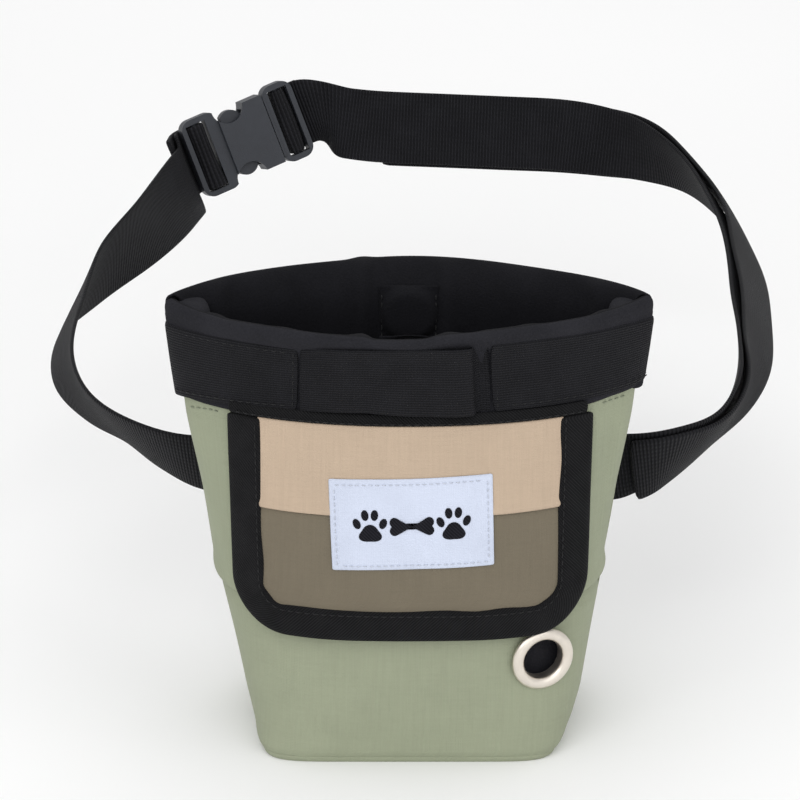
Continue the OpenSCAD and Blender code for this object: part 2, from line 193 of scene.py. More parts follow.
def noise(tree, scale, detail, distortion=0.0, place=None):
    if place is None:
        place = add(tree, "TexCoord").outputs["Object"]
    made = add(tree, "TexNoise", Scale=scale, Detail=detail, Distortion=distortion)
    tree.links.new(place, made.inputs["Vector"])
    return made.outputs["Fac"]


def tint(tree, color, factor, low, high):
    """The base colour, varied between two brightnesses by a factor from 0 to 1."""
    scale = add(tree, "ValToRGB")
    for stop, share, position in zip(scale.color_ramp.elements, (low, high), (0.25, 0.75)):
        stop.color = (*[min(1, c * share) for c in color], 1)
        stop.position = position
    tree.links.new(factor, scale.inputs[0])
    tree.links.new(scale.outputs[0], shader_input(tree, "Base Color"))


def bump(tree, heights, distance):
    """Bump from a weighted list of (height output, weight)."""
    made = add(tree, "Bump", Distance=distance)
    tree.links.new(weighted(tree, heights), made.inputs["Height"])
    tree.links.new(made.outputs[0], shader_input(tree, "Normal"))


def weighted(tree, parts):
    """The sum of a list of (output, weight)."""
    total = None
    for output, weight in parts:
        part = maths(tree, "MULTIPLY", output, weight)
        total = part if total is None else maths(tree, "ADD", total, part)
    return total


def slubs(tree, across, along, thickness, length):
    """Uneven yarns: noise stretched along them."""
    place = add(tree, "CombineXYZ")
    tree.links.new(maths(tree, "DIVIDE", across, thickness), place.inputs[0])
    tree.links.new(maths(tree, "DIVIDE", along, length), place.inputs[1])
    return noise(tree, 1.0, 2.0, place=place.outputs[0])


def nylon(tree, color, crinkle=1.0, streak=1.0):
    """Fine plain-weave nylon with uneven yarns both ways and soft crinkles."""
    surface(tree, 0.72, 0.18, 0.05)
    u, v = cloth_uv(tree)
    yarn = maths(tree, "MULTIPLY", wave(tree, u, 0.00055), wave(tree, v, 0.00055))
    warp = slubs(tree, u, v, 0.0009, 0.016)
    weft = slubs(tree, v, u, 0.0010, 0.011)
    cloud = noise(tree, 55, 4)
    folds = noise(tree, 90, 2, 0.6)
    shade = weighted(tree, [(cloud, 1 - 0.6 * streak), (warp, 0.34 * streak),
                            (weft, 0.18 * streak), (yarn, 0.08 * streak)])
    tint(tree, color, shade, 0.90, 1.085)
    bump(tree, [(yarn, 0.12), (warp, 0.25 * streak), (weft, 0.2 * streak),
                        (folds, 0.7 * crinkle)], 0.0006)


def thread(tree, color):
    """Twisted sewing thread: short slanting strands round each stitch."""
    surface(tree, 0.62, 0.25, 0.08)
    u, v = cloth_uv(tree)
    strand = wave(tree, maths(tree, "ADD", u, v), 0.0005)
    tint(tree, color, strand, 0.75, 1.2)
    bump(tree, [(strand, 1.0)], 0.00008)


def paper(tree, color):
    """Matte studio paper, very slightly uneven."""
    surface(tree, 0.9, 0.1)
    tint(tree, color, noise(tree, 3, 2), 0.99, 1.01)


def webbing(tree, color, rib=0.0011, warp=0.0017, contrast=1.0, ribs=0.6):
    """Webbing: ribs across it and fine warp lines along it, in given shares."""
    surface(tree, 0.62, 0.10, 0.015)
    u, v = cloth_uv(tree)
    across = wave(tree, v, rib)
    along = wave(tree, u, warp)
    lines = maths(tree, "MULTIPLY", across, along) if ribs > 0.5 else along
    height = weighted(tree, [(across, ribs), (lines, 1 - ribs)])
    shade = weighted(tree, [(height, 0.55), (noise(tree, 120, 3), 0.45)])
    tint(tree, color, shade, 1 - 0.45 * contrast, 1 + 0.5 * contrast)
    bump(tree, [(across, ribs), (lines, 1 - ribs), (noise(tree, 900, 2), 0.15)], 0.0005)


def twill(tree, color):
    """Twill tape with a fine diagonal line."""
    surface(tree, 0.7, 0.08, 0.015)
    u, v = cloth_uv(tree)
    line = wave(tree, maths(tree, "ADD", u, v), 0.0011)
    cloud = noise(tree, 160, 4)
    tint(tree, color, weighted(tree, [(line, 0.5), (cloud, 0.5)]), 0.6, 1.5)
    bump(tree, [(line, 0.5), (cloud, 0.6)], 0.0005)


def felt(tree, color):
    """Matte cloth whose weave is too fine to count."""
    surface(tree, 0.85, 0.06, 0.015)
    fine = noise(tree, 1800, 2)
    cloud = noise(tree, 60, 4)
    tint(tree, color, weighted(tree, [(fine, 0.5), (cloud, 0.5)]), 0.65, 1.35)
    bump(tree, [(fine, 0.4), (cloud, 1.2)], 0.0006)


def roughen(tree, factor, low, spread):
    """Roughness that varies from low by a spread."""
    rough = maths(tree, "ADD", maths(tree, "MULTIPLY", factor, spread), low)
    tree.links.new(rough, shader_input(tree, "Roughness"))


def moulded(tree, color, roughness=0.42):
    """Moulded plastic with a fine grain and light scuffs."""
    surface(tree, roughness, 0.30)
    scuff = noise(tree, 140, 5, 1.2)
    tint(tree, color, scuff, 0.9, 1.12)
    roughen(tree, scuff, roughness - 0.12, 0.3)
    bump(tree, [(noise(tree, 2600, 2), 1.0)], 0.00008)


def metal(tree, color, roughness):
    """Plated metal with faint brushing and small scratches."""
    surface(tree, roughness)
    shader_input(tree, "Metallic").default_value = 1.0
    smear = noise(tree, 220, 5, 0.8)
    tint(tree, color, smear, 0.92, 1.04)
    roughen(tree, smear, roughness - 0.08, 0.25)
    bump(tree, [(noise(tree, 1500, 2), 1.0)], 0.00003)


GREEN = (0.312, 0.338, 0.238)
BEIGE = (0.505, 0.392, 0.290)
OLIVE = (0.170, 0.145, 0.104)
WEB_BLACK = (0.0118, 0.0118, 0.0142)


# Every finish: its name, how it is made, its colour, and its other shares
FINISHES = (
    ("green_nylon", nylon, GREEN),
    ("beige_nylon", nylon, BEIGE, 0.7),
    ("olive_nylon", nylon, OLIVE, 0.7),
    ("liner", felt, (0.006, 0.006, 0.007)),
    # a darker copy of the black fabric: painted shade for the collar's inner ply and the magnet
    # pockets inside the mouth
    ("collar_inside", felt, (0.0095, 0.0095, 0.0115)),
    ("black_fabric", felt, (0.0205, 0.0205, 0.0245)),
    ("black_webbing", webbing, WEB_BLACK),
    ("band_webbing", webbing, WEB_BLACK, 0.0009, 0.0009, 0.9, 0.2),
    ("binding_tape", twill, (0.0100, 0.0100, 0.0108)),
    ("woven_label", nylon, (0.60, 0.65, 0.78), 0.2, 0.4),
    ("eyelet_metal", metal, (0.80, 0.74, 0.66), 0.33),
    ("magnet", metal, (0.4, 0.4, 0.41), 0.35),
    ("hook_and_loop", felt, (0.012, 0.012, 0.013)),
    ("buckle_plastic", moulded, (0.036, 0.039, 0.047)),
    ("thread_dark", thread, (0.010, 0.010, 0.011)),
    ("thread_green", thread, (0.26, 0.29, 0.21)),
    ("thread_white", thread, (0.70, 0.74, 0.84)),
    ("motif_thread", twill, (0.012, 0.012, 0.016)),
    ("floor_paper", paper, (0.95, 0.95, 0.95)),)


def make_materials():
    made = {}
    for name, kind, *values in FINISHES:
        made[name] = bpy.data.materials.new(name)
        made[name].use_nodes = True
        kind(made[name].node_tree, *values)
    return made


# ---- Shape of the bag ----

def lookup(value, table):
    return float(np.interp(value, *zip(*table)))


def metres(table):
    """A table of millimetres in metres."""
    return [tuple(value / 1000 for value in row) for row in table]


def half_w(h):
    return lookup(h / POUCH_H, [
        (0, 0.0485), (0.12, 0.0542), (0.32, 0.0602), (0.375, 0.0614), (0.55, 0.0653),
        (0.73, 0.0697), (0.79, 0.071), (1, 0.0745)])


def half_d(h):
    return lookup(h / POUCH_H, [
        (0, 0.035), (0.3, 0.035), (0.55, 0.032), (0.79, 0.023), (0.95, 0.0245), (1, 0.030)])


def side_power(h):
    return lookup(h / POUCH_H, [(0, 0.24), (0.12, 0.492), (0.3, 0.72), (1, 1)])


def depth_power(h):
    return lookup(h / POUCH_H, [(0, 0.24), (0.12, 0.524), (0.3, 0.8), (0.53, 1), (1, 1.7)])


def slump(h):
    """The bag hangs a little to one side towards its base."""
    return lookup(h, [(0, 0.0010), (0.017, 0.0014), (0.047, 0.0008), (0.060, 0.0002), (0.146, 0)])


BASE_TUCK = 0.0018
BASE_TUCK_H = 0.011
CLOTH_T = 0.0009


def wall(side, angle, h, off):
    """A point of the bag's wall: side -1 is the front, angle runs 0 to 180 degrees."""
    a = radians(angle)
    c = cos(a)
    s = max(0.0, sin(a))
    x = (half_w(h) + off) * copysign(abs(c) ** side_power(h), c)
    if x > 0:
        # the base is pushed in a little at its right end
        x -= BASE_TUCK * (x / half_w(h)) ** 2 * ramp(BASE_TUCK_H - h, 0, BASE_TUCK_H)
    y = MID_Y + side * (0.0001 + (half_d(h) + off) * s ** depth_power(h))
    return Vector((x + slump(h), y, BASE_Z + h))


def angle_at(x, h, off):
    x -= slump(h)
    share = min(1, abs(x) / (half_w(h) + off))
    return degrees(acos(copysign(share ** (1 / side_power(h)), x)))


def wall_at(side, x, h, off):
    return wall(side, angle_at(x, h, off), h, off)


def outward(side, angle, h):
    """The way out of the wall, level and square to it."""
    a0, a1 = max(0.5, angle - 1.5), min(179.5, angle + 1.5)
    run = wall(side, a0, h, 0) - wall(side, a1, h, 0)
    way = Vector((-run.y, run.x, 0)) * (-side)
    way.normalize()
    return way if way.y * side >= 0 else -way


# ---- Mesh helpers ----

def make_object(name, verts, faces, uvs, material):
    mesh = bpy.data.meshes.new(name)
    mesh.from_pydata([tuple(v) for v in verts], [], faces)
    layer = mesh.uv_layers.new(name="cloth")
    for loop in mesh.loops:
        layer.data[loop.index].uv = uvs[loop.vertex_index]
    for poly in mesh.polygons:
        poly.use_smooth = True
    mesh.materials.append(MATERIALS[material])
    return new_object(name, mesh)


def metre_uvs(rows):
    """UV points in metres: along each row, and from row to row by the mean step."""
    count = len(rows[0])
    uvs = []
    down = [0.0] * count
    for j, row in enumerate(rows):
        run = 0.0
        for i, p in enumerate(row):
            if i:
                run += (p - row[i - 1]).length
            if j:
                down[i] += (p - rows[j - 1][i]).length
            uvs.append((run, sum(down) / count))
    return uvs


def grid(name, rows, material, closed=False, swap=False, keep=None, uvs=None, caps=False):
    """A sheet through rows of points, or a tube where closed, whose ends caps fills."""
    count = len(rows[0])
    verts = [p for row in rows for p in row]
    uvs = uvs or metre_uvs(rows)
    if swap:
        uvs = [(v, u) for u, v in uvs]
    faces = []
    for j in range(len(rows) - 1):
        for i in range(count if closed else count - 1):
            k = (i + 1) % count
            face = (j * count + i, j * count + k, (j + 1) * count + k, (j + 1) * count + i)
            if keep is None or keep(sum((verts[n] for n in face), Vector()) / 4):
                faces.append(face)
    if caps:
        faces.append(tuple(range(count - 1, -1, -1)))
        faces.append(tuple(range(len(verts) - count, len(verts))))
    return make_object(name, verts, faces, uvs, material)


def subdivide(piece):
    smooth = piece.modifiers.new("smooth", "SUBSURF")
    smooth.levels = 1
    smooth.render_levels = 1
    return piece


def settle(piece, slot, *nodes, body="pouch"):
    """Puts a piece on its body and hides the CAD nodes it stands for."""
    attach(piece, body)
    if nodes:
        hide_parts(*nodes)
    return piece


def sheet(name, rows, thickness, slot, *nodes, body="pouch", finish=None, offset=-1.0, **kind):
    """Cloth through rows of points; its finish is its slot's unless one is named."""
    piece = grid(name, rows, finish or slot, **kind)
    solid = piece.modifiers.new("thickness", "SOLIDIFY")
    solid.thickness = thickness
    solid.offset = offset
    return settle(subdivide(piece), slot, *nodes, body=body)


def tube(name, rows, slot, *nodes, body="pouch", finish=None, **kind):
    """A rounded piece through rings of points, closed at both ends."""
    piece = subdivide(grid(name, rows, finish or slot, closed=True, caps=True, **kind))
    settle(piece, slot, *nodes, body=body)


def rises(a, b, steps):
    return [a + (b - a) * i / steps for i in range(steps + 1)]


def bell(value, middle, half_width):
    """A smooth hump, 1 at its middle and 0 past its half width."""
    t = (value - middle) / half_width
    return (1 - t * t) ** 2 if abs(t) < 1 else 0.0


def ramp(value, a, b):
    t = min(1, max(0, (value - a) / (b - a)))
    return t * t * (3 - 2 * t)


def ripple(p, seed):
    """A smooth wobble of a place, about -1 to 1, the same each run."""
    x, y, z = p.x * 1000, p.y * 1000, p.z * 1000
    return (sin(x / 11 + z / 19 + seed) * 0.5 + sin(z / 9 - x / 23 + seed * 2) * 0.3
            + sin(x / 5 + y / 7 + z / 15 + seed * 3) * 0.2)


STITCH_SIDES = 6
STITCH_RINGS = 5
STITCH_LIFT = 0.0001


def stitch_row(name, points, normals, thread, slot, pitch=0.0026, share=0.66, radius=0.00022,
               body="pouch"):
    """Short threads laid along a line of points, each sunk a little at both ends."""
    runs = [0.0]
    for a, b in zip(points, points[1:]):
        runs.append(runs[-1] + (b - a).length)

    def along(s):
        i = min(len(points) - 2, max(0, int(np.searchsorted(runs, s, "right")) - 1))
        t = (s - runs[i]) / max(1e-9, runs[i + 1] - runs[i])
        return points[i].lerp(points[i + 1], t), normals[i].lerp(normals[i + 1], t).normalized()

    verts, faces, uvs = [], [], []
    n = STITCH_SIDES
    for k in range(int(runs[-1] / pitch)):
        s0 = (k + 0.5 - share / 2) * pitch
        s1 = (k + 0.5 + share / 2) * pitch
        start = len(verts)
        for t in rises(0, 1, STITCH_RINGS - 1):
            place, out = along(s0 + (s1 - s0) * t)
            run = along(min(runs[-1], s0 + (s1 - s0) * t + 0.0003))[0] - place
            run = run.normalized() if run.length > 1e-9 else Vector((1, 0, 0))
            side = run.cross(out).normalized()
            high = sin(pi * t)
            size = radius * (0.45 + 0.55 * high)
            middle = place + out * (STITCH_LIFT + radius * (high * 1.1 - 0.6))
            for m in range(n):
                w = 2 * pi * m / n
                verts.append(middle + side * cos(w) * size + out * sin(w) * size * 0.8)
                uvs.append((m * 0.0003, s0 + (s1 - s0) * t))
        for r in range(STITCH_RINGS - 1):
            for m in range(n):
                a, b = start + r * n + m, start + r * n + (m + 1) % n
                faces.append((a, b, b + n, a + n))
        faces.append(tuple(range(start + n - 1, start - 1, -1)))
        faces.append(tuple(range(len(verts) - n, len(verts))))
    settle(make_object(name, verts, faces, uvs, thread), slot, body=body)


# ---- Bag ----

EYELET_HOLE_R = 0.0084
EYELET_P = wall_at(-1, EYELET_X, EYELET_H, 0)
EYELET_RUN = (wall_at(-1, EYELET_X + 0.003, EYELET_H, 0)
              - wall_at(-1, EYELET_X - 0.003, EYELET_H, 0)).normalized()
EYELET_OUT = Vector((EYELET_RUN.y, -EYELET_RUN.x, 0))


def clear_of_eyelet(p):
    away = p - EYELET_P
    return (away - EYELET_OUT * away.dot(EYELET_OUT)).length > EYELET_HOLE_R


def cloth_wall(side, h, a, off, wrinkle=1.0):
    """A wall point with the soft wrinkles of loose nylon."""
    p = wall(side, a, h, off)
    fade = ramp(0.122 - h, 0, 0.016) * ramp(h, 0.001, 0.014)
    edge = abs(cos(radians(a)))
    free = ramp(edge, 0.45, 0.8) if side < 0 and h > 0.05 else 0.55
    size = 0.0007 * ripple(p, 1.3 + side)
    # long soft folds run down from the band beside the flap
    for x0, depth in ((0.0635, -0.0012), (-0.0640, -0.0011), (0.0595, 0.0007)):
        centre = x0 * (0.86 + 0.14 * h / 0.116)
        size += depth * bell(p.x, centre, 0.006) * ramp(h, 0.045, 0.09)
    return p + outward(side, a, h) * size * fade * free * wrinkle


def wall_rows(side, high, low, steps, off, around=64, wrinkle=1.0):
    return [[cloth_wall(side, h, a, off(h), wrinkle) for a in rises(0, 180, around)[::-side]]
            for h in rises(high, low, steps)]


def base_edge(h):
    """How far the cloth puffs out, and then turns in, at the seam of the base."""
    return 0.0004 * bell(h, 0.004, 0.004) - 0.0016 * ramp(0.0022 - h, 0, 0.0022)


def make_walls():
    def upper_off(h):
        return 0.0009 * ramp(0.0605 - h, 0, 0.005) - 0.0012 * ramp(0.054 - h, 0, 0.0012)

    def pocket_off(h):
        return (-0.0006 - 0.0011 * ramp(h, 0.046, 0.054) + 0.0001 * bell(h, 0.004, 0.004)
                + base_edge(h))

    upper = wall_rows(-1, 0.1405, 0.0525, 52, upper_off)
    sheet("bag_front", upper, CLOTH_T, "green_nylon", "front_panel")
    pocket = wall_rows(-1, 0.0565, 0.0, 40, pocket_off, 96, 0.8)
    sheet("pocket_front", pocket, CLOTH_T, "green_nylon", "pocket_panel", keep=clear_of_eyelet)
    back = wall_rows(1, 0.1425, 0.0, 72, base_edge)
    sheet("bag_back", back, CLOTH_T, "green_nylon", "back_panel")

    # the base is a boxed panel, turned in at its seam
    ring = [wall(-1, a, 0, -0.0012) for a in rises(0, 180, 48)]
    ring += [wall(1, a, 0, -0.0012) for a in rises(180, 0, 48)[1:-1]]
    mid_y = Vector((0, MID_Y, 0)).y
    rows = []
    for scale, z in ((1, 0.0022), (0.995, 0.0008), (0.975, 0.0001), (0.94, 0.0004), (0.9, 0.0008),
                     (0.8, 0.0010), (0.6, 0.0011), (0.35, 0.0011), (0.1, 0.0011)):
        rows.append([Vector((p.x * scale, mid_y + (p.y - mid_y) * scale, BASE_Z + z
                             + 0.0002 * max(0, ripple(p * scale, 4)) * (1 - scale)))
                     for p in ring])
    sheet("bag_base", rows, 0.0008, "green_nylon", "base_panel", offset=1.0, closed=True)
    seam_h = 0.0052
    points = [wall(1, a, seam_h, 0.0003) for a in rises(32, 148, 90)]
    ways = [outward(1, a, seam_h) for a in rises(32, 148, 90)]
    stitch_row("base_stitch_back", points, ways, "thread_green", "green_nylon")


def make_liner():
    rows = []
    for h in rises(0.1405, 0.006, 44):
        row = []
        for side, angles in ((-1, rises(0, 180, 40)), (1, rises(180, 0, 40)[1:-1])):
            for a in angles:
                recess = lookup(h, [(0, 0.006), (0.064, 0.006), (0.098, 0)]) if side < 0 else 0
                p = wall(side, a, h, -0.0020)
                p.y -= side * recess * sin(radians(a))
                p += outward(side, a, h) * 0.0008 * (ripple(p, 2.2) - 1) * ramp(0.135 - h, 0, 0.02)
                row.append(p)
        rows.append(row)
    lowest = rows[-1]
    for scale, h in ((0.97, 0.003), (0.9, 0.0024), (0.6, 0.0026), (0.2, 0.0026)):
        rows.append([Vector((p.x * scale, MID_Y + (p.y - MID_Y) * scale, BASE_Z + h))
                     for p in lowest])
    rows = [row[::-1] for row in rows]
    sheet("treat_liner", rows, 0.0005, "liner", "inner_liner", closed=True)
    rows = [[wall(-1, a, h, -0.0011) + Vector((0, 0.006, 0)) for a in rises(22, 158, 30)]
            for h in rises(0.050, 0.004, 12)]
    sheet("pocket_back_cloth", rows, 0.0006, "black_fabric", "pocket_liner")


# ---- Collar and band ----

# Section of the folded collar: how far it stands off the wall, and its height
COLLAR = metres([(0.6, 113.5), (1.1, 114.5), (1.3, 121), (1.4, 128), (1.4, 134), (1.5, 139.5),
                 (1.6, 142.5), (1.4, 144.8), (0.7, 146), (-0.6, 146.5), (-1.9, 146.1), (-3, 144.9),
                 (-3.5, 142.5), (-3.7, 138), (-3.7, 132), (-3.6, 126), (-3.5, 120), (-3, 116.5)])
# Its points from here on are the rim, and then the inner ply
RIM_INDEX = 8
INNER_INDEX = 10

# How far the front rim droops, in millimetres, by angle round the mouth
RIM_DROP = [(0, 0), (30, -0.5), (60, -0.8), (90, -1.3), (112, -2.2), (140, -2.4), (165, -1.2),
            (180, -0.6)]

# How far the collar's lower edge is drawn up beside the flap, in millimetres, by angle
COLLAR_LIFT = [(0, 3.4), (30, 2.8), (50, 1.0), (62, 0)]


def collar_point(side, a, off, h, index):
    if index < 2:
        h += 0.001 * lookup(a, COLLAR_LIFT)
    p = wall(side, a, h, off)
    way = outward(side, a, h)
    x = p.x
    wobble = 0.00035 * ripple(p, 5 + side) * ramp(h, 0.128, 0.14)
    if index >= INNER_INDEX:
        wobble += 0.0006 * ripple(Vector((x * 1.7, p.y, p.z)), 3)
        for fold, depth in ((-0.0150, 0.0026), (0.0120, 0.0026), (0.0195, -0.0012),
                            (-0.0385, 0.0008), (0.0370, 0.0010), (0.0600, 0.0016),
                            (-0.0605, 0.0016)):
            wobble -= depth * bell(x, fold, 0.0042)
    rim = 0.0004 * sin(x * 95 + side) * ramp(h, 0.139, 0.146)
    if side < 0:
        rim += 0.001 * lookup(a, RIM_DROP) * ramp(h, 0.121, 0.139)
        if index >= RIM_INDEX:
            rim -= 0.0007 * ramp(x, -0.0135, -0.0120) * ramp(-x, -0.0070, -0.0055)
    else:
        rim += 0.0007 * bell(x, -0.0150, 0.005) * ramp(h, 0.139, 0.146)
    return p + way * wobble + Vector((0, 0, rim))


def make_collar():
    for side, name in ((-1, "front"), (1, "back")):
        rows = [[collar_point(side, a, off, h, i) for a in rises(0.4, 179.6, 120)[::-side]]
                for i, (off, h) in enumerate(COLLAR)][::-1]
        collar = sheet(f"collar_{name}", rows, 0.0006, "black_fabric", f"collar_{name}",
                       offset=1.0)
        # the inner ply takes the darker copy of the black fabric, as painted shade inside the mouth
        collar.data.materials.append(MATERIALS["collar_inside"])
        inner_rows = len(COLLAR) - INNER_INDEX
        for poly in collar.data.polygons:
            poly.material_index = int(min(poly.vertices) // len(rows[0]) < inner_rows)


def make_corners():
    """A folded seam where the lips meet, and a gusset tucked in beside it."""
    for side, name in ((-1, "left"), (1, "right")):
        rows = []
        for h in rises(0.1150, 0.1452, 18):
            size = 1 if h < 0.143 else 0.6
            x = side * (half_w(h) - 0.0009) + slump(h)
            drop = lookup(180 if side < 0 else 0, RIM_DROP) * 0.001 * ramp(h, 0.121, 0.139)
            rows.append([Vector((x + 0.0034 * size * cos(t),
                                 MID_Y + 0.0023 * size * sin(t), BASE_Z + h + drop))
                         for t in rises(0, 2 * pi, 20)[:-1]])
        tube(f"collar_corner_{name}", rows, "black_fabric")
        rows = []
        for reach, low in metres([(72.8, 1), (71.2, 1), (69, 1.2), (67, 1.5), (65.2, 2.2),
                                  (64.1, 3.6), (63.5, 6.2), (63.4, 10.5), (63.8, 15)]):
            front, back = (wall_at(way, side * reach, 0.1452 - low, -0.0012) for way in (-1, 1))
            rows.append([front.lerp(back, t)
                         + Vector((-side * 0.0016 * sin(pi * t), 0,
                                   0.0007 * sin(pi * t) + 0.0003 * sin(3 * pi * t)))
                         for t in rises(0, 1, 12)[::side]])
        sheet(f"collar_gusset_{name}", rows, 0.0005, "black_fabric")


# How far the band's edges lie from their drawn heights, in millimetres, by angle
FRONT_TOP = [(0, -2.1), (30, -1.0), (64, 0), (80, 0), (100, -0.5), (110, -1.5), (116, -2.6),
             (150, -3.2), (180, -4.0)]
FRONT_LOW = [(0, 2.2), (30, 2.0), (66, 1.8), (80, 1.4), (90, 1.8), (99, 2.8), (107, 2.2),
             (116, 1.3), (150, -1.0), (180, -3.3)]
BACK_TOP = [(0, -2.1), (40, -0.6), (140, -0.8), (180, -4.0)]
BACK_LOW = [(0, 2.2), (40, 0.2), (140, 0.0), (180, -3.3)]


def band_height(side, a, share):
    """Height on the wall at a share of the way up the band."""
    low = BAND_H + 0.001 * lookup(a, FRONT_LOW if side < 0 else BACK_LOW)
    top = BAND_H + BAND_W + 0.001 * lookup(a, FRONT_TOP if side < 0 else BACK_TOP)
    return low + (top - low) * share


def band_piece(name, side, a0, a1, steps, lift, node):
    """Webbing laid round the collar; lift gives how far it stands off at an angle."""
    section = metres([(0, 0.6), (0, 1.2), (0.3, 1.6), (1.2, 1.7), (6, 1.7), (12.7, 1.8),
                      (19.4, 1.7), (24.2, 1.7), (25.1, 1.6), (25.4, 1.2), (25.4, 0.4), (24.9, 0.2),
                      (12.7, 0.2), (0.5, 0.2)])
    rows = []
    for a in rises(a0, a1, steps):
        row = []
        way = outward(side, a, BAND_H + 0.012)
        for height, off in section:
            p = wall(side, a, band_height(side, a, height / BAND_W), 0.0014)
            row.append(p + way * (off + lift(a, height) + 0.00025 * ripple(p, 8)))
        rows.append(row)
    run = [0.0]
    for row, after in zip(rows, rows[1:]):
        run.append(run[-1] + (after[5] - row[5]).length)
    uvs = [(height, s) for s in run for height, _ in section]
    tube(name, rows, "black_webbing", node, finish="band_webbing", uvs=uvs)


LOOP_FROM = 71.5
LOOP_TO = 116


def make_side_stitches():
    """A row of green thread on the wall under the band, each side of the flap."""
    for name, x0, x1 in (("left", -0.0595, -0.0690), ("right", 0.0600, 0.0690)):
        points, ways = [], []
        for x in rises(x0, x1, 24):
            a = angle_at(x, 0.113, 0.0)
            h = band_height(-1, a, 0) - 0.0036
            points.append(cloth_wall(-1, h, a, 0.0002))
            ways.append(outward(-1, a, h))
        stitch_row(f"side_stitch_{name}", points, ways, "thread_green", "green_nylon", 0.0024)


def make_band():
    def flat(*_):
        return 0.0

    def right_lift(a, _):
        return 0.0003 * bell(a, 69.5, 3.0)

    def loop_lift(a, height):
        # a narrow pleat is tucked in at the right end, and the rest stands off
        t = (a - LOOP_FROM - 3.6) / (LOOP_TO - LOOP_FROM - 3.6)
        bulge = 0.0024 * max(0, sin(pi * t)) ** 0.8 if t > 0 else 0.0
        crisp = 0.0021 * ramp(t, 0.0, 0.018) * (1 - ramp(t, 0.03, 0.35))
        tuck = -0.0010 * bell(a, LOOP_FROM + 1.8, 2.4)
        ease = 0.0010 * bell(t, 0.36, 0.3) * (height / BAND_W - 0.35)
        return bulge + crisp + tuck - ease

    band_piece("band_right", -1, -1.6, LOOP_FROM - 0.4, 60, right_lift, "band_right")
    band_piece("band_left", -1, LOOP_TO + 0.4, 181.6, 60, flat, "band_left")
    band_piece("accessory_loop", -1, LOOP_FROM, LOOP_TO, 120, loop_lift, "accessory_loop")
    band_piece("band_back", 1, -0.8, 180.8, 110, flat, "band_back")
    stitch_off = 0.0033
    for name, a in (("loop_stitch_left", LOOP_TO + 1.3), ("loop_stitch_right", LOOP_FROM - 1.4)):
        hs = [band_height(-1, a, share) for share in rises(0.05, 0.95, 20)]
        points = [wall(-1, a, h, stitch_off) for h in hs]
        ways = [outward(-1, a, h) for h in hs]
        stitch_row(name, points, ways, "thread_dark", "black_webbing", 0.0024)
    for side, where, parts in ((-1, "front", ((LOOP_TO + 3, 178), (2, LOOP_FROM - 4))),
                               (1, "back", ((3, 177),))):
        for row, level in (("low", 0.08), ("high", 0.92)):
            for n, ends in enumerate(parts):
                angles = rises(*ends, 60)
                points = [wall(side, a, band_height(side, a, level), stitch_off) for a in angles]
                ways = [outward(side, a, BAND_H) for a in angles]
                stitch_row(f"band_stitch_{where}_{row}_{n}", points, ways, "thread_dark",
                           "black_webbing", 0.0028)


# ---- Flap ----

PANEL_HALF = FLAP_W / 2 - BINDING_W + 0.0012
INNER_LOW = FLAP_LOW + BINDING_W - 0.0012
INNER_R = CORNER_R - BINDING_W + 0.0012


def flap_point(x, h, off):
    """A place on the flap, which is a little fuller than the wall under it."""
    x *= 0.985 + 0.03 * (h - FLAP_LOW) / (FLAP_TOP - FLAP_LOW)
    x += 0.0004
    p = wall_at(-1, x, h, off)
    way = outward(-1, angle_at(x, h, off), h)
    full = 0.0005 * cos(x / FLAP_W * pi) * bell(h, 0.083, 0.045)
    return p + way * (full + 0.00022 * ripple(p * 1.3, 6))


def flap_cloth(name, high, low, off, slot, node, edge=None):
    rows = []
    for h in rises(high, low, 30):
        drop = max(0, INNER_LOW + INNER_R - h)
        half = PANEL_HALF - INNER_R + sqrt(max(0, INNER_R ** 2 - drop ** 2))
        shift = off + (edge(h) if edge else 0)
        rows.append([flap_point(x, h, shift) for x in rises(half, -half, 48)])
    return sheet(name, rows, 0.0007, slot, node, body="flap")


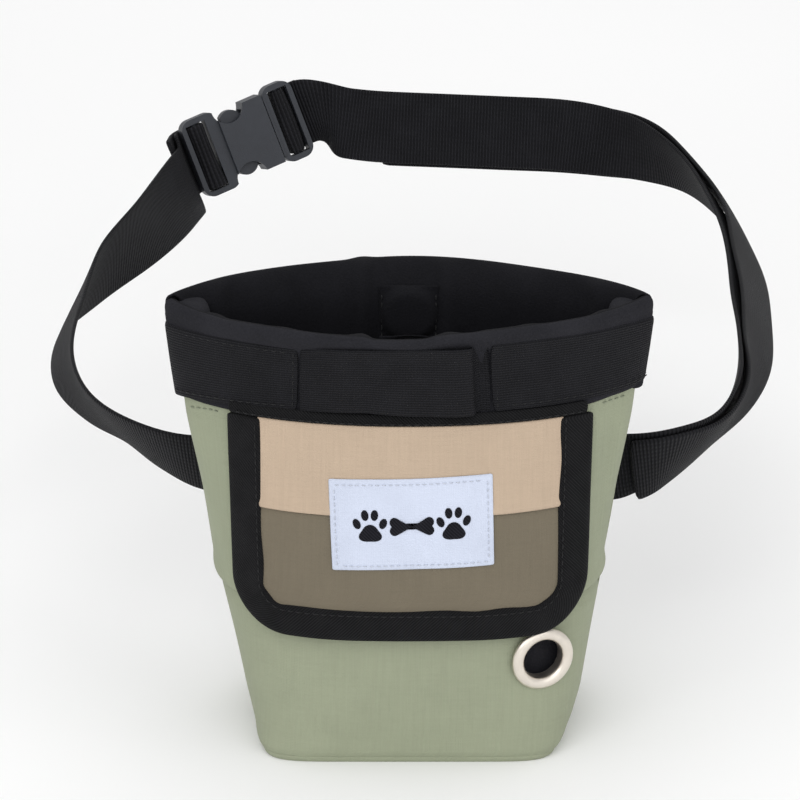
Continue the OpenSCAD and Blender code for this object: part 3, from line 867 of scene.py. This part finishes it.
def make_flap():
    def top_edge(h):
        return 0.0005 * bell(h, SEAM_H + 0.0012, 0.0016) + 0.0003

    def low_edge(h):
        return -0.0006 * ramp(h, SEAM_H - 0.002, SEAM_H + 0.001)

    high = FLAP_TOP - 0.0003
    flap_cloth("flap_top", high, SEAM_H, 0.0036, "beige_nylon", "flap_top_panel", top_edge)
    flap_cloth("flap_lower", SEAM_H + 0.002, INNER_LOW, 0.0036, "olive_nylon",
               "flap_lower_panel", low_edge)
    lining = flap_cloth("flap_lining_cloth", high, INNER_LOW, 0.0027, "black_fabric",
                        "flap_lining")

    # the binding is folded over the edge: down one side, round the bottom and up again
    r = CORNER_R
    line = [(FLAP_W / 2, h, 1, 0) for h in rises(high, FLAP_LOW + r, 34)]
    for a in rises(6, 84, 13):
        c, s = cos(radians(a)), sin(radians(a))
        line.append((FLAP_W / 2 - r + r * c, FLAP_LOW + r - r * s, c, -s))
    line += [(x, FLAP_LOW, 0, -1) for x in rises(FLAP_W / 2 - r, 0, 26)]
    line += [(-x, h, -nx, nh) for x, h, nx, nh in line[-2::-1]]
    section = metres([(0.4, 3.1), (0.1, 3.6), (0.2, 4.1), (0.8, 4.5), (2.2, 4.6), (4.5, 4.4),
                      (7, 4.4), (8.8, 4.4), (9.7, 4.2), (10.3, 3.7), (10.1, 3.2), (8, 2.3),
                      (4.5, 2.1), (1.2, 2.2)])
    rows = []
    run = 0.0
    for k, (x, h, nx, nh) in enumerate(line):
        if k:
            run += dist((x, h), line[k - 1][:2])
        row = []
        for inset, off in section:
            deep = inset
            if inset > 0.004:
                deep += 0.00028 * sin(run * 230 + 2 * sin(run * 71)) * inset / BINDING_W
            px, ph = x - nx * deep, h - nh * deep
            puff = 0.0003 * sin(run * 410 + 1) * bell(inset, 0.005, 0.005)
            row.append(flap_point(px, ph, off + puff))
        rows.append(row)
    tube("flap_edge", rows, "binding_tape", "flap_binding", body="flap")

    # a folded tape covers the flap's top edge where it is sewn to the bag
    section = metres([(117.2, 2.2), (117.7, 2.8), (117.3, 3.4), (116, 4), (115.2, 4.6),
                      (114.6, 4.8), (114.2, 4.6), (114.3, 4.3), (115, 4.2), (115.4, 3), (115.7, 2)])
    rows = [[wall_at(-1, x, h, off) for h, off in section] for x in rises(0.0560, -0.0565, 70)]
    tube("flap_head_tape", rows, "binding_tape", swap=True)
    seam_h, seam_off = 0.1149, 0.0048
    xs = rises(0.0545, -0.0550, 70)
    points = [wall_at(-1, x, seam_h, seam_off) for x in xs]
    ways = [outward(-1, angle_at(x, seam_h, seam_off), seam_h) for x in xs]
    stitch_row("flap_head_stitch", points, ways, "thread_dark", "binding_tape")
    inset = BINDING_W - 0.0016
    points, ways = [], []
    for x, h, nx, nh in line:
        px, ph = x - nx * inset, h - nh * inset
        points.append(flap_point(px, ph, 0.0045))
        ways.append(outward(-1, angle_at(px, ph, 0), ph))
    stitch_row("binding_stitch", points, ways, "thread_dark", "binding_tape", 0.0027, body="flap")


LABEL_MID = (0.0005, 0.084)
LABEL_W = 0.051
LABEL_TALL = 0.029
LABEL_INSET = 0.0017
MOTIF_OFF = 0.00490
MOTIF_RISE = 0.0003


def on_label(u, v, off):
    """A place on the label, sewn on a little crooked; u and v are from its centre."""
    turn = radians(1.8)
    x = LABEL_MID[0] + u * cos(turn) - v * sin(turn)
    h = LABEL_MID[1] + u * sin(turn) + v * cos(turn)
    return flap_point(x, h, off)


def motif_blob(name, outline, centre):
    """A raised patch of satin stitch inside an outline."""
    verts, faces, uvs = [], [], []
    rings = 5
    count = len(outline)
    for k in range(rings):
        share = 1 - k / rings
        rise = MOTIF_RISE * sqrt(max(0, 1 - share * share))
        for u, v in outline:
            uu, vv = centre[0] + (u - centre[0]) * share, centre[1] + (v - centre[1]) * share
            verts.append(on_label(uu, vv, MOTIF_OFF + rise))
            uvs.append((uu, vv))
    verts.append(on_label(*centre, MOTIF_OFF + MOTIF_RISE))
    uvs.append(centre)
    for k in range(rings):
        for i in range(count):
            a, b = k * count + i, k * count + (i + 1) % count
            faces.append((a, b, b + count, a + count) if k < rings - 1 else (a, b, rings * count))
    settle(make_object(name, verts, faces, uvs, "motif_thread"), "woven_label", body="flap")


def motif_toe(cu, cv, lean):
    """Outline of a leaning oval about a centre."""
    a, b = 0.00115, 0.00165
    out = []
    for t in rises(0, 2 * pi, 28)[:-1]:
        u, v = a * cos(t), b * sin(t)
        out.append((cu + u * cos(lean) - v * sin(lean), cv + u * sin(lean) + v * cos(lean)))
    return out


def make_label():
    half_u, half_v = LABEL_W / 2, LABEL_TALL / 2
    rows = []
    for v in rises(half_v, -half_v, 24):
        row = []
        for u in rises(half_u, -half_u, 36):
            near = min(half_u - abs(u), half_v - abs(v))
            # the edges are folded under and pressed, and the stitches pull a groove
            pressed = 0.0004 * ramp(0.0006 - near, 0, 0.0006)
            groove = 0.00008 * bell(near, LABEL_INSET, 0.0008)
            row.append(on_label(u, v, 0.00475 - pressed - groove))
        rows.append(row)
    sheet("label_cloth", rows, 0.0004, "woven_label", "label", body="flap")
    u0, v0 = half_u - LABEL_INSET, half_v - LABEL_INSET
    corners = [(u0, v0), (u0, -v0), (-u0, -v0), (-u0, v0), (u0, v0)]
    for n, (a, b) in enumerate(zip(corners, corners[1:])):
        points = [on_label(u, v, 0.00485) for u, v in zip(rises(a[0], b[0], 24),
                                                          rises(a[1], b[1], 24))]
        ways = [Vector((0, -1, 0))] * len(points)
        stitch_row(f"label_stitch_{n}", points, ways, "thread_white", "woven_label",
                   0.0021, 0.6, 0.00016, body="flap")
    make_motif()


def make_motif():
    """A plain motif of two paw prints and a bone."""
    for n, cu in enumerate((-0.0130, 0.0130)):
        pad = []
        for t in rises(0, 2 * pi, 36)[:-1]:
            reach = 0.0031 * (1 + 0.13 * cos(3 * (t - pi / 2)))
            pad.append((cu + reach * 1.1 * cos(t), -0.0022 + reach * 0.85 * sin(t)))
        motif_blob(f"motif_pad_{n}", pad, (cu, -0.0022))
        for m, (du, dv, lean) in enumerate(((-0.0041, 0.0010, 0.45), (-0.0015, 0.0036, 0.12),
                                            (0.0015, 0.0036, -0.12), (0.0041, 0.0010, -0.45))):
            toe = motif_toe(cu + du, dv, lean)
            motif_blob(f"motif_toe_{n}_{m}", toe, (cu + du, dv))
    bone = []
    knob_r, knob_u, knob_v = 0.0015, 0.0054, 0.0013
    for right, up in ((1, 1), (-1, 1), (-1, -1), (1, -1)):
        # each knob is most of a circle, from the shaft round to the notch at the bone's end
        sweep = rises(-50, 193.5, 14) if right * up > 0 else rises(193.5, -50, 14)
        for a in map(radians, sweep):
            u, v = knob_r * cos(a), knob_r * sin(a)
            bone.append((right * (knob_u + u), up * (knob_v + v)))
    motif_blob("motif_bone", bone, (0.0, 0.0))


# ---- Eyelet, magnets and patches ----

EYELET_RING = [
    (10.4, 0.2), (10.45, 0.6), (10.2, 1.2), (9.6, 1.7), (8.8, 2), (8, 2), (7.2, 1.7),
    (6.7, 1.1), (6.5, 0.4), (6.5, -0.8), (6.5, -2.2), (6.6, -2.9), (7.1, -3), (7.2, -2.2),
    (7.2, -0.4), (7.8, 0.1), (9, 0.2), (10.4, 0.2)]
EYELET_BACK = [(7.3, -3), (8.4, -2.9), (8.5, -2.6), (8.3, -2.3), (7.4, -2.3), (7.3, -2.6),
               (7.3, -3)]


def make_eyelet():
    """Two turned rings: profiles are radius and height along the eyelet's axis."""
    up = Vector((0, 0, 1))
    third = EYELET_OUT.cross(up).normalized()
    turns = rises(0, 2 * pi, 72)[:-1]
    for name, profile, node in (("eyelet_ring", EYELET_RING, "eyelet"),
                                ("eyelet_back", EYELET_BACK, "eyelet_washer")):
        rows = [[EYELET_P + EYELET_OUT * z + (up * cos(t) + third * sin(t)) * r
                 for t in turns] for r, z in metres(profile)]
        settle(subdivide(grid(name, rows, "eyelet_metal", closed=True)), "eyelet_metal", node)


def make_patches():
    for name, body, half, low, high, off, node in (
            ("loop_tape", "pouch", 0.016, 0.046, 0.0515, 0.0004, "loop_patch"),
            ("hook_tape", "flap", 0.015, 0.0465, 0.051, 0.0015, "hook_patch")):
        rows = [[wall_at(-1, x, h, off) for x in rises(half, -half, 24)]
                for h in rises(high, low, 8)]
        sheet(name, rows, 0.0005, "hook_and_loop", node, body=body)


def make_magnet_covers():
    for side, name in ((-1, "front"), (1, "back")):
        node = f"magnet_cover_{name}"
        low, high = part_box(node)
        mid = (low + high) / 2
        half = (high.x - low.x) / 2
        inner_y = low.y if side > 0 else high.y
        rows = []
        for v in rises(half, -half, 20):
            row = []
            for u in rises(-half, half, 20)[::side]:
                near = max(abs(u), abs(v)) / half
                square_r = (abs(u / half) ** 5 + abs(v / half) ** 5) ** 0.2
                # the cloth is sewn down at its edge and stands up over the round magnet
                disc = ramp(1.06 - hypot(u, v) / half, 0, 0.30)
                crown = 0.0008 * (1 - min(1, square_r) ** 4) + 0.0022 * disc
                pull = 1 - 0.05 * max(0, near - 0.7)
                y = inner_y + side * (0.0038 - crown)
                row.append(Vector((mid.x + u * pull, y, mid.z + v * pull)))
            rows.append(row)
        # the pockets take the darker copy of the black fabric, as painted shade inside the mouth
        piece = sheet(f"magnet_pocket_{name}", rows, 0.0004, "black_fabric", node,
                      finish="collar_inside")
        for edge, where in ((-1, "left"), (1, "right")):
            line = [Vector((mid.x + edge * 0.9 * half, inner_y + side * 0.0024, mid.z + v))
                    for v in rises(-0.9 * half, 0.9 * half, 24)]
            stitch_row(f"magnet_stitch_{name}_{where}", line, [Vector((0, -side, 0))] * len(line),
                       "thread_dark", "black_fabric")


# ---- Belt ----

# The belt's centre line in millimetres, with its outward lean in degrees
LEFT_ROUTE = [
    (17, -3, 0, 0), (0, -3, 0, 0), (-26, -3, 0, 0), (-48, -4, 0, 8), (-67, -4, -1, 22),
    (-83, 4, 1, 34), (-97, 18, 4, 36), (-108, 38, 6, 10), (-114, 62, 9, -18),
    (-112, 92, 12, -26), (-104, 118, 14, -8), (-91, 145, 16, 10), (-83, 168, 16, 18),
    (-78, 188, 15, 22), (-76, 200, 13, 24)]
RIGHT_ROUTE = [
    (17, -3, 0, 0), (26, -3, 0, 0), (44, -4, 0, 0), (61, -8, 0, 4), (71, -9, 1, 14),
    (83, -5, 3, 26), (95, 7, 4, 34), (104, 26, 6, 22), (110, 53, 7, -6), (114, 82, 8, -24),
    (114, 117, 10, -28), (112, 152, 12, -30), (105, 184, 14, -32), (95, 206, 16, -26),
    (82, 219, 17, -8), (68, 225, 18, 8), (53, 228, 19, 18), (34, 228, 20, 20),
    (12, 228, 21, 20), (-10, 228, 22, 20), (-22, 229, 23, 20)]
WIDTH_MM = 25.4
END_WIDTH_MM = 25

# Paths of the webbing round the buckle's bars, in millimetres in the buckle's own frame
SOCKET_WRAP = [
    (-25.2, -3.6), (-23.4, 1.6), (-20.6, 3.5), (-19, 2.4), (-18.8, 0), (-18, -2.1),
    (-16, -2.6), (-14.2, -1.9), (-13.7, 0.2), (-13.9, 2.4), (-15.6, 4.1), (-18.4, 5),
    (-22, 4.6), (-25.2, 0.8), (-27.4, -4.2), (-29.6, -9.2)]
PLUG_WRAP = [
    (25.5, 2.6), (22.6, 3.6), (20, 3.4), (18.9, 2.2), (18.8, 0), (18, -2.1), (16, -2.6),
    (14.2, -1.9), (13.7, 0.2), (13.9, 2.4), (15.8, 4.3), (19, 5.2), (23, 5.1), (26.5, 4.2)]
WRAP_W = 0.0235
BELT_T = 0.0014


def smooth_list(values, parts):
    """Points of a smooth curve through a list of arrays."""
    out = []
    n = len(values)
    for i in range(n - 1):
        p0, p1, p2, p3 = (values[max(0, min(n - 1, k))] for k in (i - 1, i, i + 1, i + 2))
        for k in range(parts):
            t = k / parts
            out.append(0.5 * (2 * p1 + (p2 - p0) * t + (2 * p0 - 5 * p1 + 4 * p2 - p3) * t * t
                              + (3 * p1 - p0 - 3 * p2 + p3) * t ** 3))
    out.append(values[-1])
    return out


PARTS = 5
TAIL_FIRST = 4
TAIL_GAP = 0.0026
TAIL_DROP = 0.0010


def web_stations(route, sense):
    """Centre, way across, way out and width along the belt, in metres."""
    widths = [WIDTH_MM] * (len(route) - 1) + [END_WIDTH_MM]
    fine = smooth_list([np.array((*q, w), float) for q, w in zip(route, widths)], PARTS)
    out = []
    for i, q in enumerate(fine):
        a, b = fine[max(0, i - 1)], fine[min(len(fine) - 1, i + 1)]
        t = Vector((b - a)[:3]).normalized()
        up = (Vector((0, 0, 1)) - t * t.z).normalized()
        away = up.cross(t) * sense
        lean = radians(q[3])
        out.append((Vector(q[:3]) / 1000, up * cos(lean) + away * sin(lean),
                    away * cos(lean) - up * sin(lean), q[4] / 1000))
    return out


def ribbon(name, stations, seed):
    """A woven strap through its stations, with rounded selvedges and a slight cupping."""
    across = 9
    r = BELT_T / 2
    rows, vs = [], []
    run = 0.0
    for k, (c, wide, away, w) in enumerate(stations):
        if k:
            run += (c - stations[k - 1][0]).length
        vs.append(run)
        half = w / 2
        wave = 0.0004 * sin(run * 90 + seed) + 0.0003 * sin(run * 37 + seed * 2)
        row = []
        for face in (1, -1):
            for x in rises(face * (half - r), -face * (half - r), across):
                cup = -0.0005 * (x / half) ** 2 + wave * (x / half)
                row.append(c + wide * x + away * (face * r + cup))
            for inset, high in ((0.35, 0.75), (0, 0), (0.35, -0.75)):
                row.append(c - wide * face * (half - r * inset)
                           + away * (face * (r * high - wave) - 0.0005))
        rows.append(row)
    uvs = [((p - c).dot(wide) + BAND_W / 2, v)
           for row, v, (c, wide, _, _) in zip(rows, vs, stations) for p in row]
    return subdivide(grid(name, rows, "black_webbing", closed=True, caps=True, uvs=uvs))


def wrap_stations(path):
    """Stations for a path of (x, y) in the buckle's own frame."""
    rx, ry, rz = (radians(v) for v in BUCKLE_TURN)
    turn = Matrix.Rotation(rz, 3, "Z") @ Matrix.Rotation(ry, 3, "Y") @ Matrix.Rotation(rx, 3, "X")
    ax, ay, az = (turn.col[k].copy() for k in range(3))
    fine = smooth_list([np.array(q, float) for q in metres(path)], 3)
    out = []
    for i, q in enumerate(fine):
        a, b = fine[max(0, i - 1)], fine[min(len(fine) - 1, i + 1)]
        d = (b - a) / max(1e-9, np.linalg.norm(b - a))
        run = ax * float(d[0]) + ay * float(d[1])
        centre = BUCKLE_P + ax * float(q[0]) + ay * float(q[1])
        out.append((centre, az, az.cross(run).normalized(), WRAP_W))
    return out


def join_stations(first, second):
    """Carries one strap into another, easing its place, width and twist."""
    a, b = first[-1], second[0]
    gap = (b[0] - a[0]).length
    steps = max(2, int(gap / 0.0025))
    d0 = (a[0] - first[-2][0]).normalized() * gap
    d1 = (second[1][0] - b[0]).normalized() * gap
    middle = []
    for k in range(1, steps):
        t = k / steps
        h0, h1 = 2 * t ** 3 - 3 * t ** 2 + 1, t ** 3 - 2 * t ** 2 + t
        h2, h3 = -2 * t ** 3 + 3 * t ** 2, t ** 3 - t ** 2
        c = a[0] * h0 + d0 * h1 * 0.8 + b[0] * h2 + d1 * h3 * 0.8
        s = ramp(t, 0, 1)
        wide = a[1].lerp(b[1], s).normalized()
        away = a[2].lerp(b[2], s)
        away = (away - wide * away.dot(wide)).normalized()
        middle.append((c, wide, away, a[3] + (b[3] - a[3]) * s))
    return first + middle + second


def make_belts():
    left = join_stations(web_stations(LEFT_ROUTE, 1), wrap_stations(SOCKET_WRAP))
    settle(ribbon("belt_left_web", left, 1.0), "black_webbing", "belt_left", "socket_wrap")
    route = web_stations(RIGHT_ROUTE, -1)
    right = join_stations(route, wrap_stations(PLUG_WRAP))
    tail = [(c + away * TAIL_GAP - wide * TAIL_DROP, wide, away, w)
            for c, wide, away, w in route[TAIL_FIRST * PARTS:-PARTS]]
    for name, stations, seed, nodes in (
            ("belt_right_web", right, 2.0, ("belt_right", "plug_wrap")),
            ("belt_tail_web", tail, 3.1, ("belt_tail",))):
        piece = ribbon(name, stations, seed)
        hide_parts(*nodes)
        bpy.context.view_layer.update()
        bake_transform(piece)


def make_tunnel():
    """Webbing sewn above and below the belt, open at both sides."""
    half = 0.026
    outer = [(19, -4), (19, -1.8), (18.6, -1), (17.2, -0.6), (15.8, -0.3), (14, -0.1),
             (10, 0)]
    inner = [(12.8, -1.5), (13.6, -3), (15, -4)]
    lower = [(-z, y) for z, y in outer[::-1] + inner[::-1]]
    section = metres(outer + [(0, 0)] + lower + [(0, -1.5)] + inner)
    rows = [[Vector((x, y - 0.00015 * (1 + sin(x * 300)), z)) for z, y in section]
            for x in rises(half, -half, 30)]
    tube("belt_tunnel_web", rows, "black_webbing", "belt_tunnel", swap=True)
    for name, z in (("tunnel_stitch_top", 0.0165), ("tunnel_stitch_low", -0.0165)):
        line = [Vector((x, -0.0004, z)) for x in rises(0.002 - half, half - 0.002, 30)]
        stitch_row(name, line, [Vector((0, 1, 0))] * len(line), "thread_dark", "black_webbing")


def make_buckle():
    for node in ("buckle_socket", "buckle_plug", "prong_upper", "prong_lower"):
        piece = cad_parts[node]
        finish_node(piece, "buckle_plastic")
        weld = piece.modifiers.new("weld", "WELD")
        weld.merge_threshold = 0.00002
        soft = piece.modifiers.new("edges", "BEVEL")
        soft.width = 0.0006 if node.startswith("buckle") else 0.0004
        soft.segments = 3
        soft.limit_method = "ANGLE"
        soft.angle_limit = radians(32)
        piece.modifiers.new("shading", "WEIGHTED_NORMAL")
    for node in ("magnet_front", "magnet_back"):
        finish_node(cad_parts[node], "magnet")


def finish_node(piece, name):
    piece.data.materials.clear()
    piece.data.materials.append(MATERIALS[name])
    for poly in piece.data.polygons:
        poly.material_index = 0
        poly.use_smooth = True


MATERIALS = make_materials()
add_camera()
add_studio()
make_walls()
make_liner()
make_collar()
make_corners()
make_band()
make_side_stitches()
make_flap()
make_label()
make_eyelet()
make_patches()
make_magnet_covers()
make_belts()
make_tunnel()
make_buckle()
